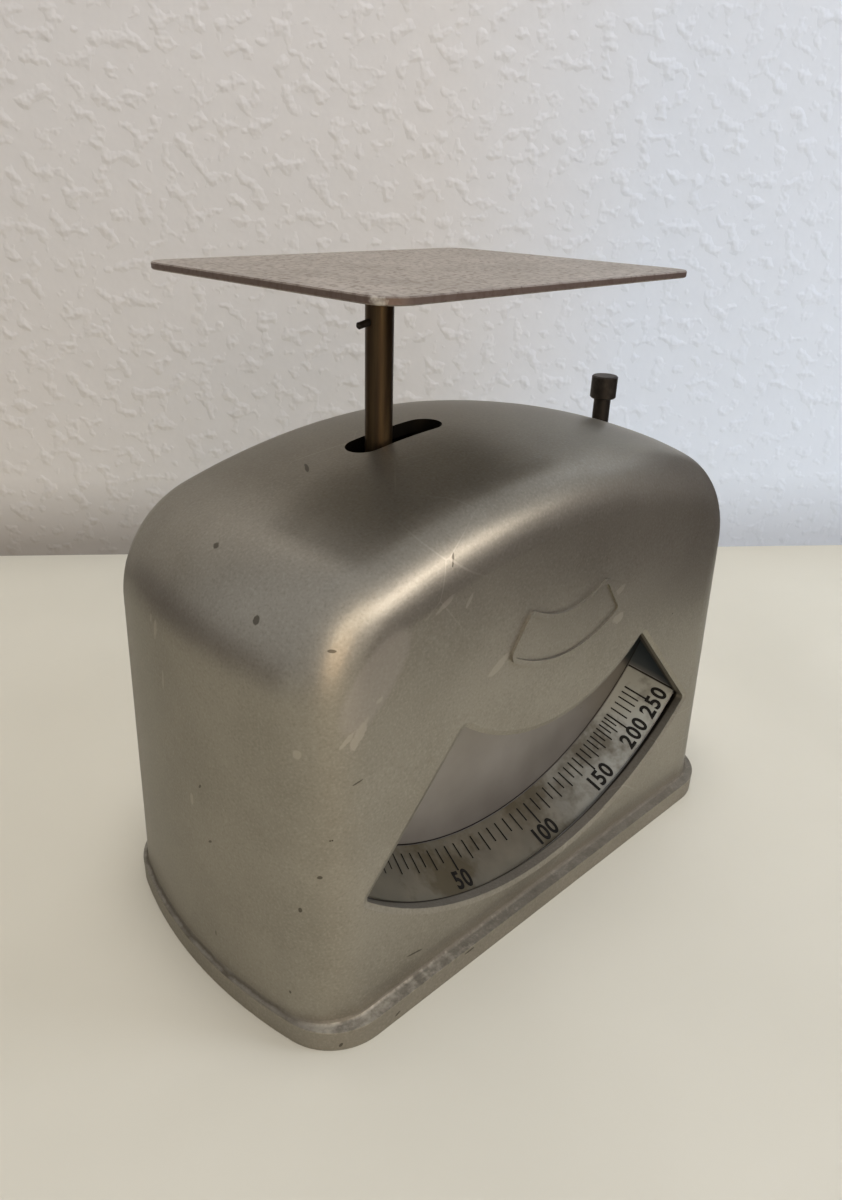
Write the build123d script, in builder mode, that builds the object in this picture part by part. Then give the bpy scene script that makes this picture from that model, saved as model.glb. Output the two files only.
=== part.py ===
from build123d import *
import math
import os

# Pendulum dispensing balance: cast housing, fixed conical dial, moving pointer.
# Millimetres. Origin at the middle of the base, on the table. X runs along the
# front from left to right, Y from the front to the back, Z up. The movement, the
# window and the slot share a centre that is a little left of the casting's.

# housing casting
HOUSING_LENGTH = 164.6
HOUSING_DEPTH = 85.4
HOUSING_HEIGHT = 122.3
WALL = 3.2
ARCH_RADIUS = 184.0
SHOULDER_RADIUS = 27.5
END_BOW = 7.5
CROWN = 6.0
EDGE_RADIUS = 14.5
DRAFT = 1.38
FLANGE_LENGTH = 166.8
FLANGE_DEPTH = 91.8
FLANGE_HEIGHT = 5.6
FLANGE_BOW = 8.5
FLANGE_FRONT_CORNER = 16.0
FLANGE_BACK_CORNER = 19.0
FLANGE_ROUND = 1.0
MOVEMENT_X, MOVEMENT_Y = -1.5, 0.4

# dial window and bare plaque in the front face
WINDOW_TOP_X, WINDOW_TOP_Z = 33.7, 68.2
WINDOW_LOW_X, WINDOW_LOW_Z = 62.0, 37.0
WINDOW_TOP_SAG = 12.5
WINDOW_LOW_SAG = 25.6
WINDOW_CORNER = 1.2
LIP_WIDTH, LIP_DEPTH = 1.3, 0.4
PLAQUE_Z = 110.6
PLAQUE_INNER = 24.8
PLAQUE_OUTER = 37.2
PLAQUE_HALF_ANGLE = 34.5
PLAQUE_HEIGHT = 0.7
PLAQUE_CORNER = 2.2
PLAQUE_BORDER, PLAQUE_RECESS = 1.2, 0.5

# slot for the stem
SLOT_X = -18.5
SLOT_LENGTH = 27.0
SLOT_WIDTH = 9.0

# parallel motion: beam above, guide link below, both 25.7 long
PIVOT_Z = 92.7
ARM = 25.7
ARM_RISE = 24.4
LINK_DROP = 48.0
STEM_X = -ARM * math.cos(math.radians(ARM_RISE))
STEM_TOP_PIVOT_Z = PIVOT_Z + ARM * math.sin(math.radians(ARM_RISE))
LINK_Z = PIVOT_Z - LINK_DROP
STEM_LOW_PIVOT_Z = STEM_TOP_PIVOT_Z - LINK_DROP
SHAFT_DIAMETER = 4.0
PIN_DIAMETER = 3.0
RUNNING_CLEARANCE = 0.05
OPEN_PIVOT_CLEARANCE = 0.35
FORK_INNER = 4.0
FORK_OUTER = 6.4
FORK_HUB_HALF = 8.0
BEAM_HUB_RADIUS, BEAM_EYE_RADIUS = 5.5, 4.2
LINK_HUB_RADIUS, LINK_EYE_RADIUS = 4.5, 3.6
GUIDE_POST_DIAMETER = 4.0

# pendulum
WEIGHT_ANGLE = 22.3
WEIGHT_ARM = 28.8
WEIGHT_DIAMETER = 26.0
WEIGHT_INNER_Y = 2.0
WEIGHT_OUTER_Y = 17.6
WEIGHT_BOLT_DIAMETER = 5.0
WEIGHT_COUNTERBORE_DIAMETER, WEIGHT_COUNTERBORE_DEPTH = 10.0, 2.4

# stem and pan
STEM_DIAMETER = 6.3
STEM_TAIL = 4.6
SPIGOT_DIAMETER = 4.0
STOP_PIN_DIAMETER = 1.5
STOP_PIN_Z = 147.0
STOP_PIN_DROOP = 11.0
PAN_LENGTH = 100.0
PAN_WIDTH = 75.0
PAN_THICKNESS = 1.5
PAN_TOP = 157.0
PAN_OFFSET = 16.0
PAN_TURN = 2.9
PAN_CORNER = 6.0

# dial: flat sector with a conical rim that carries the printed scale
DIAL_Y = -24.4
DIAL_RADIUS = 76.5
DIAL_CONE = 26.5
RIM_FRONT_Y = -38.4
SHEET = 0.8
STRIP = 0.3
STRIP_BACK_Y = -24.8
STRIP_MARGIN = 0.2
DIAL_START, DIAL_END = -48.5, 58.0
STRIP_START, STRIP_END = -48.1, 48.8
RIM_TRIM_X = 66.0
DIAL_SCREW_POINTS = ((-9.5, 71.0), (9.5, 71.0))
DIAL_SCREW_DIAMETER = 3.0

# pointer, a strip 0.6 thick bent to follow the rim
ZERO_ANGLE = -40.7
POINTER_BACK_Y = -26.4
POINTER_TIP_Y = -33.5
POINTER_SHEET = 0.6
POINTER_HUB_RADIUS = 4.0

# frame and base plate
UPRIGHT_Y = 20.0
FRAME_WIDTH = 48.0
FRAME_FOOT_HEIGHT = 9.0
FRAME_SHEET = 1.6
BEARING_RADIUS, BEARING_COLLAR_RADIUS = 4.5, 6.2
BEARING_COLLAR_HEIGHT = 1.2
BASE_TOP = 3.6
BASE_SHEET = 2.0
BASE_GAP = 0.5
POST_SPACING_X, POST_SPACING_Y = 130.0, 70.0
POST_DIAMETER, POST_HEIGHT = 11.0, 16.0
BASE_SCREW_DIAMETER = 2.5
FRAME_SPACING_X, FRAME_SPACING_Y = 38.0, 24.0
FRAME_SCREW_DIAMETER = 2.8
SINK = 1.25

# zero screw
SCREW_X = 62.3
SCREW_DIAMETER, SCREW_HEAD_DIAMETER = 4.8, 7.4
SCREW_TIP_Z = PIVOT_Z + 4.1
SCREW_HEAD_Z = 118.7
SCREW_TOP_Z = 125.1
SCREW_POST_DIAMETER = 13.0
SCREW_POST_Z = 99.0
LUG_WIDTH, LUG_LENGTH = 8.0, 28.4

POSTS = GridLocations(POST_SPACING_X, POST_SPACING_Y, 2, 2)
FRAME_HOLES = GridLocations(FRAME_SPACING_X, FRAME_SPACING_Y, 2, 2)

os.makedirs("parts", exist_ok=True)


def polar(radius, angle, centre_z=PIVOT_Z):
    """Point in the front view, angle from straight down, positive to the right."""
    turn = math.radians(angle)
    return (radius * math.sin(turn), centre_z - radius * math.cos(turn))


def front_plane(y):
    """Plane of the movement seen from the front: sketch x along X, sketch y along Z."""
    return Plane(origin=(MOVEMENT_X, MOVEMENT_Y + y, 0), x_dir=(1, 0, 0), z_dir=(0, -1, 0))


def deck(z):
    """Level plane centred on the movement."""
    return Plane(origin=(MOVEMENT_X, MOVEMENT_Y, z), x_dir=(1, 0, 0), z_dir=(0, 0, 1))


def bell_section(y, lean, half, top, shoulder):
    """Arched outline of the housing on a plane at y that leans in by the draft."""
    turn = math.radians(lean)
    plane = Plane(origin=(0, y, 0), x_dir=(1, 0, 0), z_dir=(0, -math.cos(turn), math.sin(turn)))
    c = math.cos(math.radians(DRAFT))
    s = math.sin(math.radians(DRAFT))
    reach = half * c - shoulder
    along = reach * s * c - (reach * s - (top - ARCH_RADIUS)) * c
    across = (reach * c) ** 2 + (reach * s - (top - ARCH_RADIUS)) ** 2
    rise = along + math.sqrt(along ** 2 - across + (ARCH_RADIUS - shoulder) ** 2)
    centre = (reach * c - s * rise, reach * s + c * rise)
    bend_end = math.degrees(math.atan2(centre[1] - top + ARCH_RADIUS, centre[0]))
    with BuildSketch(plane) as outline:
        with BuildLine():
            wall = Line((half, 0), (centre[0] + shoulder * c, centre[1] + shoulder * s))
            right = JernArc(wall @ 1, wall % 1, shoulder, bend_end - DRAFT)
            arch = JernArc(right @ 1, right % 1, ARCH_RADIUS, 180 - 2 * bend_end)
            left = JernArc(arch @ 1, arch % 1, shoulder, bend_end - DRAFT)
            Polyline(left @ 1, (-half, 0), (half, 0))
        make_face()
    return outline.sketch


def bell_sections(inset):
    """Five outlines from front to back; the ends are bowed and the top is crowned."""
    sections = []
    for k in (-1.0, -0.5, 0.0, 0.5, 1.0):
        half = HOUSING_LENGTH / 2 - inset - END_BOW * k * k
        top = HOUSING_HEIGHT - inset - CROWN * k * k
        y = k * (HOUSING_DEPTH / 2 - inset)
        sections.append(bell_section(y, -DRAFT * k, half, top, SHOULDER_RADIUS - inset))
    return sections


def bowed_outline(length, depth, bow, front_corner, back_corner, z):
    """Plan outline with straight front and back, bowed ends and round corners."""
    with BuildSketch(Plane.XY.offset(z)) as outline:
        x = length / 2 - bow
        with BuildLine():
            Line((-x, -depth / 2), (x, -depth / 2))
            ThreePointArc((x, -depth / 2), (length / 2, 0), (x, depth / 2))
            Line((x, depth / 2), (-x, depth / 2))
            ThreePointArc((-x, depth / 2), (-length / 2, 0), (-x, -depth / 2))
        make_face()
        fillet(outline.vertices().group_by(Axis.Y)[0], front_corner)
        fillet(outline.vertices().group_by(Axis.Y)[-1], back_corner)
    return outline.sketch


# ---------------------------------------------------------------- housing
with BuildPart() as cavity:
    loft(sections=bell_sections(WALL))
    faces = cavity.faces().sort_by(Axis.Y)
    rim = (faces[0].edges() + faces[-1].edges()).filter_by(lambda e: e.center().Z > 1)
    fillet(rim, EDGE_RADIUS - WALL)

front_face = Plane(
    origin=(MOVEMENT_X, -HOUSING_DEPTH / 2, 0),
    x_dir=(1, 0, 0),
    z_dir=(0, -math.cos(math.radians(DRAFT)), math.sin(math.radians(DRAFT))),
)

with BuildPart() as housing:
    loft(sections=bell_sections(0))
    faces = housing.faces().sort_by(Axis.Y)
    rim = (faces[0].edges() + faces[-1].edges()).filter_by(lambda e: e.center().Z > 1)
    fillet(rim, EDGE_RADIUS)
    # base bead, cast in one with the walls
    bead = bowed_outline(
        FLANGE_LENGTH, FLANGE_DEPTH, FLANGE_BOW, FLANGE_FRONT_CORNER, FLANGE_BACK_CORNER, 0
    )
    extrude(bead, FLANGE_HEIGHT)
    bead_top = housing.faces().filter_by(Plane.XY).filter_by(
        lambda f: abs(f.center().Z - FLANGE_HEIGHT) < 0.01
    )
    fillet(bead_top.edges().group_by(Edge.length)[-1], FLANGE_ROUND)
    # raised bare plaque above the window
    with BuildSketch(front_face) as plaque:
        with BuildLine():
            inner = CenterArc((0, PLAQUE_Z), PLAQUE_INNER, 270 - PLAQUE_HALF_ANGLE, 2 * PLAQUE_HALF_ANGLE)
            outer = CenterArc((0, PLAQUE_Z), PLAQUE_OUTER, 270 - PLAQUE_HALF_ANGLE, 2 * PLAQUE_HALF_ANGLE)
            Line(inner @ 0, outer @ 0)
            Line(inner @ 1, outer @ 1)
        make_face()
        fillet(plaque.vertices(), PLAQUE_CORNER)
    extrude(plaque.sketch, amount=PLAQUE_HEIGHT)
    with BuildSketch(front_face.offset(PLAQUE_HEIGHT)) as panel:
        add(offset(plaque.sketch_local, -PLAQUE_BORDER, mode=Mode.PRIVATE))
    extrude(panel.sketch, amount=-PLAQUE_RECESS, mode=Mode.SUBTRACT)
    add(cavity.part, mode=Mode.SUBTRACT)
    # corner posts for the base plate, and the post for the zero screw
    with BuildSketch(Plane.XY.offset(BASE_TOP)) as posts:
        with POSTS:
            Circle(POST_DIAMETER / 2)
    extrude(posts.sketch, amount=POST_HEIGHT)
    with BuildSketch(deck(SCREW_POST_Z)) as screw_post:
        with Locations((SCREW_X, 0)):
            Circle(SCREW_POST_DIAMETER / 2)
    extrude(screw_post.sketch, until=Until.NEXT, target=housing.part)
    with BuildSketch(deck(SCREW_POST_Z)) as screw_hole:
        with Locations((SCREW_X, 0)):
            Circle(SCREW_DIAMETER / 2 + RUNNING_CLEARANCE)
    extrude(screw_hole.sketch, amount=30, mode=Mode.SUBTRACT)
    with BuildSketch(Plane.XY.offset(BASE_TOP)) as post_holes:
        with POSTS:
            Circle(BASE_SCREW_DIAMETER / 2)
    extrude(post_holes.sketch, amount=POST_HEIGHT - 4, mode=Mode.SUBTRACT)
    # slot for the stem
    with BuildSketch(deck(105)) as slot:
        with Locations((SLOT_X, 0)):
            SlotOverall(SLOT_LENGTH, SLOT_WIDTH)
    extrude(slot.sketch, amount=30, mode=Mode.SUBTRACT)
    # dial window with a shallow bevelled lip
    with BuildSketch(front_face) as window:
        with BuildLine():
            ThreePointArc(
                (-WINDOW_TOP_X, WINDOW_TOP_Z),
                (0, WINDOW_TOP_Z - WINDOW_TOP_SAG),
                (WINDOW_TOP_X, WINDOW_TOP_Z),
            )
            Line((WINDOW_TOP_X, WINDOW_TOP_Z), (WINDOW_LOW_X, WINDOW_LOW_Z))
            ThreePointArc(
                (WINDOW_LOW_X, WINDOW_LOW_Z),
                (0, WINDOW_LOW_Z - WINDOW_LOW_SAG),
                (-WINDOW_LOW_X, WINDOW_LOW_Z),
            )
            Line((-WINDOW_LOW_X, WINDOW_LOW_Z), (-WINDOW_TOP_X, WINDOW_TOP_Z))
        make_face()
        fillet(window.vertices(), WINDOW_CORNER)
    extrude(window.sketch, amount=8, both=True, mode=Mode.SUBTRACT)
    opening = [
        e for e in housing.edges()
        if abs(front_face.to_local_coords(e.center()).Z) < 0.01
        and abs(front_face.to_local_coords(e @ 0).Z) < 0.01
        and abs(e.center().X) < WINDOW_LOW_X + 1
        and e.bounding_box().max.Z < WINDOW_TOP_Z + 1
        and e.bounding_box().min.Z > 8
    ]
    front_wall = housing.faces().filter_by(lambda f: abs(front_face.to_local_coords(f.center()).Z) < 0.01)
    chamfer(opening, LIP_WIDTH, LIP_DEPTH, reference=front_wall.sort_by(SortBy.AREA)[-1])
housing.part.label = "housing"
export_step(housing.part, "parts/housing.step")

# ---------------------------------------------------------------- base
with BuildPart() as base_plate:
    inside_length = HOUSING_LENGTH - 2 * (WALL + BASE_GAP)
    inside_depth = HOUSING_DEPTH - 2 * (WALL + BASE_GAP)
    inside_corner = EDGE_RADIUS - WALL
    underside = BASE_TOP - BASE_SHEET
    blank = bowed_outline(inside_length, inside_depth, END_BOW, inside_corner, inside_corner, underside)
    extrude(blank, BASE_SHEET)
    with BuildSketch(Plane.XY.offset(BASE_TOP)) as post_holes:
        with POSTS:
            Circle(BASE_SCREW_DIAMETER / 2 + 0.1)
    with BuildSketch(deck(BASE_TOP)) as frame_holes:
        with FRAME_HOLES:
            Circle(FRAME_SCREW_DIAMETER / 2 + 0.1)
    extrude(post_holes.sketch, amount=-BASE_SHEET, mode=Mode.SUBTRACT)
    extrude(frame_holes.sketch, amount=-BASE_SHEET, mode=Mode.SUBTRACT)
    sinks = base_plate.edges().filter_by(GeomType.CIRCLE).group_by(Axis.Z)[0]
    chamfer(sinks.filter_by(lambda e: e.radius < 2), SINK + 0.05)
base_plate.part.label = "base_plate"
export_step(base_plate.part, "parts/base_plate.step")


def countersunk_screw(radius, length):
    """Half profile of a flush screw standing head down on z = 0."""
    with BuildSketch(Plane.XZ) as profile:
        with BuildLine():
            Polyline(
                (0, 0),
                (radius + SINK, 0),
                (radius, SINK),
                (radius, length - 0.4),
                (radius - 0.4, length),
                (0, length),
                close=True,
            )
        make_face()
    return profile.sketch


with BuildPart() as flush_screw:
    revolve(countersunk_screw(BASE_SCREW_DIAMETER / 2, 12.5), axis=Axis.Z)

with BuildPart() as base_plate_screws:
    with POSTS:
        add(flush_screw.part)
base_plate_screws = base_plate_screws.part.moved(Location((0, 0, BASE_TOP - BASE_SHEET)))
base_plate_screws.label = "base_plate_screws"
export_step(base_plate_screws, "parts/base_plate_screws.step")

with BuildPart() as short_screw:
    revolve(countersunk_screw(FRAME_SCREW_DIAMETER / 2, 6.6), axis=Axis.Z)

with BuildPart() as frame_screws:
    with FRAME_HOLES:
        add(short_screw.part)
frame_screws = frame_screws.part.moved(deck(BASE_TOP - BASE_SHEET).location)
frame_screws.label = "frame_screws"
export_step(frame_screws, "parts/frame_screws.step")

with BuildPart() as frame_nuts:
    with BuildSketch(deck(BASE_TOP + FRAME_SHEET)) as nuts:
        with FRAME_HOLES:
            RegularPolygon(3.1, 6)
            Circle(FRAME_SCREW_DIAMETER / 2, mode=Mode.SUBTRACT)
    extrude(nuts.sketch, amount=2.2)
frame_nuts.part.label = "frame_nuts"
export_step(frame_nuts.part, "parts/frame_nuts.step")

# ---------------------------------------------------------------- mechanism frame
with BuildPart() as mechanism_frame:
    # bent steel channel: a web on the base plate and two tall uprights
    with BuildSketch(Plane.YZ.offset(MOVEMENT_X)) as channel:
        with Locations((MOVEMENT_Y, BASE_TOP)):
            Rectangle(2 * (UPRIGHT_Y + FRAME_SHEET), 110, align=(Align.CENTER, Align.MIN))
        fillet(channel.vertices().group_by(Axis.Y)[0], 2.4)
        with Locations((MOVEMENT_Y, BASE_TOP + FRAME_SHEET)):
            Rectangle(2 * UPRIGHT_Y, 120, align=(Align.CENTER, Align.MIN), mode=Mode.SUBTRACT)
    extrude(channel.sketch, amount=FRAME_WIDTH / 2, both=True)
    with BuildSketch(front_plane(0)) as upright:
        with Locations((0, BASE_TOP)):
            Rectangle(FRAME_WIDTH, FRAME_FOOT_HEIGHT, align=(Align.CENTER, Align.MIN))
        with BuildLine():
            corner = (FRAME_WIDTH / 2, BASE_TOP + FRAME_FOOT_HEIGHT)
            crown = CenterArc((0, PIVOT_Z), 11, 0, 180)
            Polyline(corner, (16, 26), (14.5, 74), crown @ 0)
            Polyline(crown @ 1, (-14.5, 74), (-16, 26), (-corner[0], corner[1]), corner)
        make_face()
        with Locations((0, LINK_Z)):
            Circle(GUIDE_POST_DIAMETER / 2, mode=Mode.SUBTRACT)
        with Locations((0, PIVOT_Z)):
            Circle(BEARING_RADIUS, mode=Mode.SUBTRACT)
        with Locations((0, 26), (0, 60)):
            SlotOverall(16, 9, rotation=90, mode=Mode.SUBTRACT)
    extrude(upright.sketch, amount=60, both=True, mode=Mode.INTERSECT)
    with BuildSketch(deck(BASE_TOP)) as holes:
        with FRAME_HOLES:
            Circle(FRAME_SCREW_DIAMETER / 2 + 0.1)
    extrude(holes.sketch, amount=4, mode=Mode.SUBTRACT)
    # tapped holes for the dial in the front upright
    with BuildSketch(front_plane(-UPRIGHT_Y + 1)) as tapped:
        with Locations(*DIAL_SCREW_POINTS):
            Circle(DIAL_SCREW_DIAMETER / 2)
    extrude(tapped.sketch, amount=4, mode=Mode.SUBTRACT)
mechanism_frame.part.label = "mechanism_frame"
export_step(mechanism_frame.part, "parts/mechanism_frame.step")


def pivot_plane(y):
    """Front plane whose origin is the beam axis."""
    return front_plane(y).shift_origin((MOVEMENT_X, MOVEMENT_Y + y, PIVOT_Z))


with BuildPart() as beam_bearings:
    # each is a bush through its upright, with a collar on the inside
    with BuildSketch(pivot_plane(-UPRIGHT_Y)) as front_bush:
        Circle(BEARING_RADIUS)
    extrude(front_bush.sketch, amount=5.2)
    with BuildSketch(pivot_plane(UPRIGHT_Y + 3.2)) as rear_bush:
        Circle(BEARING_RADIUS)
    extrude(rear_bush.sketch, amount=3.2)
    with BuildSketch(pivot_plane(UPRIGHT_Y)) as collar:
        Circle(BEARING_COLLAR_RADIUS)
    extrude(collar.sketch, amount=BEARING_COLLAR_HEIGHT)
    front_collar = collar.sketch.moved(Location((0, BEARING_COLLAR_HEIGHT - 2 * UPRIGHT_Y, 0)))
    extrude(front_collar, amount=BEARING_COLLAR_HEIGHT)
    with BuildSketch(pivot_plane(2 * UPRIGHT_Y)) as bore:
        Circle(SHAFT_DIAMETER / 2 + RUNNING_CLEARANCE)
    extrude(bore.sketch, amount=4 * UPRIGHT_Y, mode=Mode.SUBTRACT)
beam_bearings.part.label = "beam_bearings"
export_step(beam_bearings.part, "parts/beam_bearings.step")

# ---------------------------------------------------------------- beam and pendulum
with BuildPart() as beam_shaft:
    with BuildSketch(pivot_plane(UPRIGHT_Y + 4)) as rod:
        Circle(SHAFT_DIAMETER / 2)
    extrude(rod.sketch, amount=UPRIGHT_Y + 4 + 30.6)
    chamfer(beam_shaft.edges().filter_by(GeomType.CIRCLE), 0.4)
beam_shaft.part.label = "beam_shaft"
export_step(beam_shaft.part, "parts/beam_shaft.step")


def fork_cheek(pivot_z, eye_z, hub_radius, eye_radius):
    """Side bar of a fork, a hull round its hub and its eye."""
    with BuildSketch(front_plane(0)) as cheek:
        with BuildSketch(front_plane(0), mode=Mode.PRIVATE) as rounds:
            with Locations((0, pivot_z)):
                Circle(hub_radius)
            with Locations((STEM_X, eye_z)):
                Circle(eye_radius)
        make_hull(rounds.edges())
        with Locations((STEM_X, eye_z)):
            Circle(PIN_DIAMETER / 2, mode=Mode.SUBTRACT)
    return cheek.sketch


weight_x, weight_z = polar(WEIGHT_ARM, WEIGHT_ANGLE)

with BuildPart() as beam:
    side = fork_cheek(PIVOT_Z, STEM_TOP_PIVOT_Z, BEAM_HUB_RADIUS, BEAM_EYE_RADIUS)
    extrude(side.moved(Location((0, FORK_OUTER, 0))), amount=FORK_OUTER - FORK_INNER)
    extrude(side.moved(Location((0, -FORK_INNER, 0))), amount=FORK_OUTER - FORK_INNER)
    with BuildSketch(front_plane(FORK_HUB_HALF)) as hub:
        with Locations((0, PIVOT_Z)):
            Circle(BEAM_HUB_RADIUS)
    extrude(hub.sketch, amount=2 * FORK_HUB_HALF)
    # flat tail between the two weights
    with BuildSketch(front_plane(WEIGHT_INNER_Y)) as tail:
        with BuildSketch(front_plane(WEIGHT_INNER_Y), mode=Mode.PRIVATE) as rounds:
            with Locations((0, PIVOT_Z)):
                Circle(BEAM_HUB_RADIUS)
            with Locations((weight_x, weight_z)):
                Circle(7)
        make_hull(rounds.edges())
    extrude(tail.sketch, amount=2 * WEIGHT_INNER_Y)
    with BuildSketch(front_plane(10)) as bores:
        with Locations((0, PIVOT_Z)):
            Circle(SHAFT_DIAMETER / 2)
        with Locations((weight_x, weight_z)):
            Circle(WEIGHT_BOLT_DIAMETER / 2)
    extrude(bores.sketch, amount=20, mode=Mode.SUBTRACT)
beam.part.label = "beam"
export_step(beam.part, "parts/beam.step")


def weight_disc(side):
    """One half weight, bored and counterbored; side is -1 in front of the tail, +1 behind."""
    length = WEIGHT_OUTER_Y - WEIGHT_INNER_Y
    upward = (Align.CENTER, Align.CENTER, Align.MIN)
    plane = Plane(
        origin=(MOVEMENT_X + weight_x, MOVEMENT_Y + side * WEIGHT_INNER_Y, weight_z),
        x_dir=(1, 0, 0),
        z_dir=(0, side, 0),
    )
    with BuildPart(plane) as disc:
        Cylinder(WEIGHT_DIAMETER / 2, length, align=upward)
        chamfer(disc.edges().filter_by(GeomType.CIRCLE), 0.8)
        Cylinder(WEIGHT_BOLT_DIAMETER / 2, length, align=upward, mode=Mode.SUBTRACT)
    with BuildPart(plane.offset(length - WEIGHT_COUNTERBORE_DEPTH)) as counterbore:
        Cylinder(WEIGHT_COUNTERBORE_DIAMETER / 2, WEIGHT_COUNTERBORE_DEPTH, align=upward)
    return disc.part - counterbore.part


counterweight_front = weight_disc(-1)
counterweight_front.label = "counterweight_front"
export_step(counterweight_front, "parts/counterweight_front.step")
counterweight_rear = weight_disc(1)
counterweight_rear.label = "counterweight_rear"
export_step(counterweight_rear, "parts/counterweight_rear.step")

with BuildPart() as counterweight_bolt:
    with BuildSketch(front_plane(WEIGHT_OUTER_Y - 0.3)) as shank:
        with Locations((weight_x, weight_z)):
            Circle(WEIGHT_BOLT_DIAMETER / 2)
    extrude(shank.sketch, amount=2 * WEIGHT_OUTER_Y - WEIGHT_COUNTERBORE_DEPTH - 0.3)
    with BuildSketch(front_plane(-WEIGHT_OUTER_Y + WEIGHT_COUNTERBORE_DEPTH)) as head:
        with Locations((weight_x, weight_z)):
            Circle(4.5)
    extrude(head.sketch, amount=2.2)
    with BuildSketch(front_plane(-WEIGHT_OUTER_Y + 0.9)) as driver_slot:
        with Locations((weight_x, weight_z)):
            Rectangle(12, 1.2, rotation=35)
    extrude(driver_slot.sketch, amount=2, mode=Mode.SUBTRACT)
counterweight_bolt.part.label = "counterweight_bolt"
export_step(counterweight_bolt.part, "parts/counterweight_bolt.step")

with BuildPart() as counterweight_nut:
    with BuildSketch(front_plane(WEIGHT_OUTER_Y - 0.4)) as hexagon:
        with Locations((weight_x, weight_z)):
            RegularPolygon(4.6, 6)
            Circle(WEIGHT_BOLT_DIAMETER / 2, mode=Mode.SUBTRACT)
    extrude(hexagon.sketch, amount=2.0)
counterweight_nut.part.label = "counterweight_nut"
export_step(counterweight_nut.part, "parts/counterweight_nut.step")

# ---------------------------------------------------------------- pointer
CONE_SLOPE = math.tan(math.radians(DIAL_CONE))


def meridian(angle):
    """Half plane through the beam axis: sketch x runs forward, sketch y outward."""
    turn = math.radians(angle)
    return Plane(
        origin=(MOVEMENT_X, MOVEMENT_Y, PIVOT_Z),
        x_dir=(0, -1, 0),
        z_dir=(math.cos(turn), 0, math.sin(turn)),
    )


def radial_plane(y, angle):
    """Front plane on the beam axis, turned so that sketch -y is the given angle."""
    turn = math.radians(angle)
    return Plane(
        origin=(MOVEMENT_X, MOVEMENT_Y + y, PIVOT_Z),
        x_dir=(math.cos(turn), 0, math.sin(turn)),
        z_dir=(0, -1, 0),
    )


with BuildPart() as pointer_hub:
    with BuildSketch(pivot_plane(POINTER_BACK_Y + 0.8)) as collar:
        Circle(POINTER_HUB_RADIUS)
        Circle(SHAFT_DIAMETER / 2, mode=Mode.SUBTRACT)
    extrude(collar.sketch, amount=4.4)
pointer_hub.part.label = "pointer_hub"
export_step(pointer_hub.part, "parts/pointer_hub.step")

with BuildPart() as pointer:
    # bent strip: flat arm in front of the dial, tip laid along the cone
    gap_radius = DIAL_RADIUS - 1.9
    back = -POINTER_BACK_Y
    face = back + POINTER_SHEET
    tip = -POINTER_TIP_Y
    skin = POINTER_SHEET / math.cos(math.radians(DIAL_CONE))
    with BuildSketch(meridian(ZERO_ANGLE)) as strip:
        with BuildLine():
            Polyline(
                (back, 3),
                (back, gap_radius + (back + DIAL_Y) * CONE_SLOPE),
                (tip, gap_radius + (tip + DIAL_Y) * CONE_SLOPE),
                (tip, gap_radius + (tip + DIAL_Y) * CONE_SLOPE - skin),
                (face, gap_radius + (face + DIAL_Y) * CONE_SLOPE - skin),
                (face, 3),
                close=True,
            )
        make_face()
    extrude(strip.sketch, amount=4, both=True)
    with BuildSketch(radial_plane(-20, ZERO_ANGLE)) as taper:
        with BuildLine():
            Polyline((-2.6, 0), (2.6, 0), (0.45, -82), (-0.45, -82), close=True)
        make_face()
    extrude(taper.sketch, amount=20, mode=Mode.INTERSECT)
    with BuildSketch(pivot_plane(POINTER_BACK_Y)) as ring:
        Circle(POINTER_HUB_RADIUS + 2)
    extrude(ring.sketch, amount=POINTER_SHEET)
    with BuildSketch(pivot_plane(POINTER_BACK_Y)) as eye:
        Circle(POINTER_HUB_RADIUS)
    extrude(eye.sketch, amount=POINTER_SHEET, mode=Mode.SUBTRACT)
pointer.part.label = "pointer"
export_step(pointer.part, "parts/pointer.step")

# ---------------------------------------------------------------- dial
BEAM_AXIS = Axis((MOVEMENT_X, MOVEMENT_Y, PIVOT_Z), (0, -1, 0))

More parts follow.
